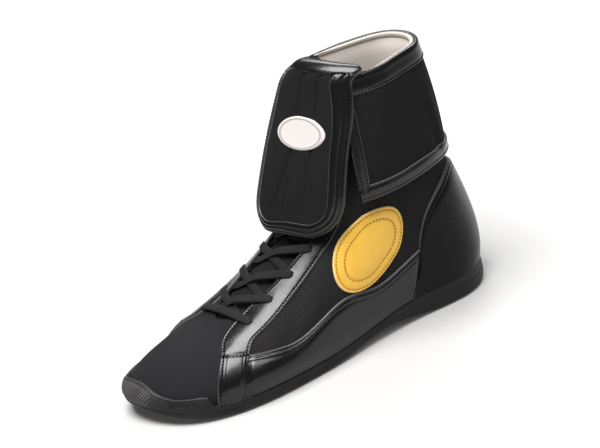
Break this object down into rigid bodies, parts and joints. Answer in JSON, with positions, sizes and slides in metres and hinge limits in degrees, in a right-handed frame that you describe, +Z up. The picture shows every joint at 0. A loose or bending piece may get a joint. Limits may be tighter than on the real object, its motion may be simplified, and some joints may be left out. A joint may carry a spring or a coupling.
{
  "type": "boxing shoe",
  "caption": "Left high-top boxing shoe with a thin rubber sole, leather overlays, a knit cuff that hangs from the collar and a tongue that folds forward as a flap over flat laces.",
  "frame": {"origin": "middle of the flat heel rest, on the floor plane", "axes": "+X to the toe, +Y to the outer side of the foot, +Z up"},
  "size_m": [0.2712, 0.0964, 0.1908],
  "materials": {
    "sole_rubber": "matte black moulded rubber",
    "insole_foam": "cream brushed lining",
    "upper_fabric": "matte black twill",
    "cuff_knit": "matte black knit",
    "trim_leather": "glossy black smooth leather",
    "patch_leather": "golden yellow leather, half gloss",
    "badge_white": "white woven patch",
    "lace_cord": "matte black flat braid"
  },
  "bodies": {
    "root": {"outsole": "sole_rubber", "insole": "insole_foam", "upper": "upper_fabric", "tongue": "cuff_knit", "flap_binding": "trim_leather", "badge": "badge_white", "cuff": "cuff_knit", "cuff_top_binding": "trim_leather", "cuff_bottom_binding": "trim_leather", "cuff_front_binding_lateral": "trim_leather", "cuff_front_binding_medial": "trim_leather", "eyestay_lateral": "trim_leather", "eyestay_medial": "trim_leather", "strap_lateral": "trim_leather", "strap_medial": "trim_leather", "foxing_lateral": "trim_leather", "foxing_medial": "trim_leather", "counter": "trim_leather", "ankle_patch_lateral": "patch_leather", "ankle_patch_medial": "patch_leather", "lace_bar": "lace_cord", "lace_cross_1": "lace_cord", "lace_cross_2": "lace_cord", "lace_cross_3": "lace_cord", "lace_cross_4": "lace_cord"}
  },
  "joints": []
}
